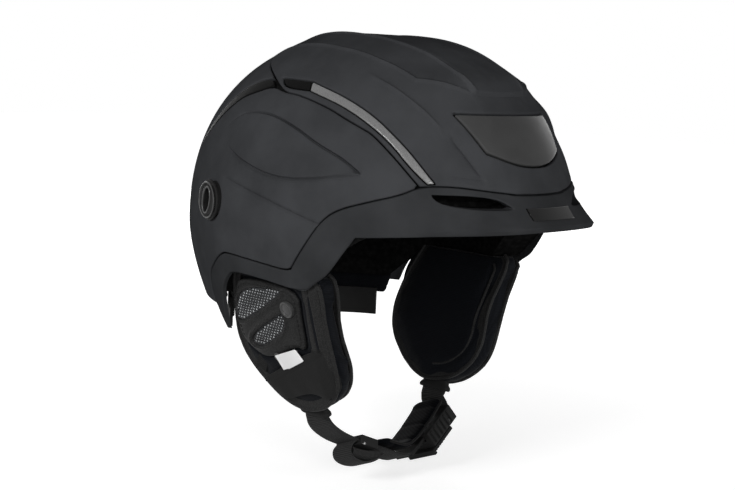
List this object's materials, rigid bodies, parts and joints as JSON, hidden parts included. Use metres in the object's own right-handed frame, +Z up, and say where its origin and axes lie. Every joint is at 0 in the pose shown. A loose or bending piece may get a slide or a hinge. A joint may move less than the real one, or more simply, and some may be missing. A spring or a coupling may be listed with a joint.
{
  "type": "ski helmet",
  "caption": "Panelled hard-shell ski helmet with brim, vents, foam liner, soft ear pads, chin strap with ratchet buckle, dial fit system and goggle clip.",
  "frame": {"origin": "middle of the head cavity, level with the underside of the brow, where a head seats", "axes": "+Z up through the crown, -Y towards the forehead and brim, -X towards the wearer's right side"},
  "size_m": [0.2176, 0.2991, 0.2808],
  "materials": {
    "shell_charcoal": "matte moulded shell",
    "panel_black": "satin moulded panel",
    "stripe_grey": "glossy reflective strip",
    "gloss_black": "glossy black",
    "trim_black": "fine-grained black",
    "foam": "moulded foam beads, dark",
    "lining": "brushed lining",
    "pad_fabric": "soft knitted fabric with piping",
    "pad_cover": "soft leather-like cover",
    "net_grey": "open knitted net",
    "sleeve_fabric": "woven band",
    "tag_white": "smooth woven label, bare",
    "webbing": "ribbed webbing",
    "steel": "turned steel"
  },
  "bodies": {
    "helmet": {"crown_shell": "shell_charcoal", "rear_shell": "shell_charcoal", "side_shell_right": "shell_charcoal", "side_shell_left": "shell_charcoal", "lower_shell": "shell_charcoal", "front_panel": "panel_black", "rear_stripe_right": "panel_black", "rear_stripe_left": "panel_black", "reflector_stripe_right": "stripe_grey", "reflector_stripe_left": "stripe_grey", "stripe_end_right": "gloss_black", "stripe_end_left": "gloss_black", "brow_badge": "gloss_black", "port_ring_right": "trim_black", "port_ring_left": "trim_black", "snap_button_right": "trim_black", "snap_button_left": "trim_black", "strap_guide_right": "trim_black", "strap_guide_left": "trim_black", "strap_anchor_right": "trim_black", "strap_anchor_left": "trim_black", "buckle_housing": "trim_black", "dial_hanger": "trim_black", "dial_housing": "trim_black", "dial_cover": "trim_black", "clip_base": "trim_black", "foam_liner": "foam", "brow_pad": "lining", "side_pads": "lining", "rear_pad": "lining", "crown_pad": "lining", "neck_roll_right": "lining", "neck_roll_left": "lining", "nape_pad": "lining", "ear_pad_right": "pad_fabric", "ear_pad_left": "pad_fabric", "chin_pad": "pad_fabric", "ear_cover_right": "pad_cover", "ear_cover_left": "pad_cover", "ear_net_right": "net_grey", "ear_net_left": "net_grey", "ear_sleeve_right": "sleeve_fabric", "ear_sleeve_left": "sleeve_fabric", "care_tag": "tag_white", "strap_right": "webbing", "strap_left": "webbing", "lever_pin": "steel", "clip_pin": "steel"},
    "keeper": {"strap_keeper": "trim_black"},
    "tongue": {"ratchet_tongue": "trim_black"},
    "lever": {"release_lever": "trim_black"},
    "dial": {"fit_dial": "trim_black", "dial_pinion": "trim_black"},
    "band_right": {"fit_band_right": "trim_black"},
    "band_left": {"fit_band_left": "trim_black"},
    "clip": {"clip_arm": "trim_black"}
  },
  "joints": [
    {"name": "keeper_slide", "type": "slide", "parent": "helmet", "child": "keeper", "axis": [0.9118, -0.1525, -0.3814], "range_m": [-0.002, 0.004]},
    {"name": "tongue_slide", "type": "slide", "parent": "helmet", "child": "tongue", "axis": [0.866, 0.1857, 0.4642], "range_m": [-0.0056, 0.0056]},
    {"name": "lever_hinge", "type": "hinge", "parent": "helmet", "child": "lever", "pos_m": [0.05082, -0.02099, -0.13617], "axis": [0, -0.9285, 0.3714], "range_deg": [0, 28], "stiffness_Nm_per_rad": 0.01, "springref_deg": -11.46},
    {"name": "dial_turn", "type": "hinge", "parent": "helmet", "child": "dial", "pos_m": [0, 0.096, -0.063], "axis": [0, 1, 0], "range_deg": [0, 150]},
    {"name": "band_right_turn", "type": "hinge", "parent": "helmet", "child": "band_right", "pos_m": [0, 0.02, -0.063], "axis": [0, 0, -1], "range_deg": [0, 12]},
    {"name": "band_left_turn", "type": "hinge", "parent": "helmet", "child": "band_left", "pos_m": [0, 0.02, -0.063], "axis": [0, 0, 1], "range_deg": [0, 12]},
    {"name": "clip_hinge", "type": "hinge", "parent": "helmet", "child": "clip", "pos_m": [0, 0.14388, -0.00803], "axis": [1, 0, 0], "range_deg": [0, 35], "stiffness_Nm_per_rad": 0.02, "springref_deg": -11.46}
  ],
  "couplings": [
    {"joint": "band_right_turn", "follows": "dial_turn", "ratio": 0.078947},
    {"joint": "band_left_turn", "follows": "dial_turn", "ratio": 0.078947}
  ]
}
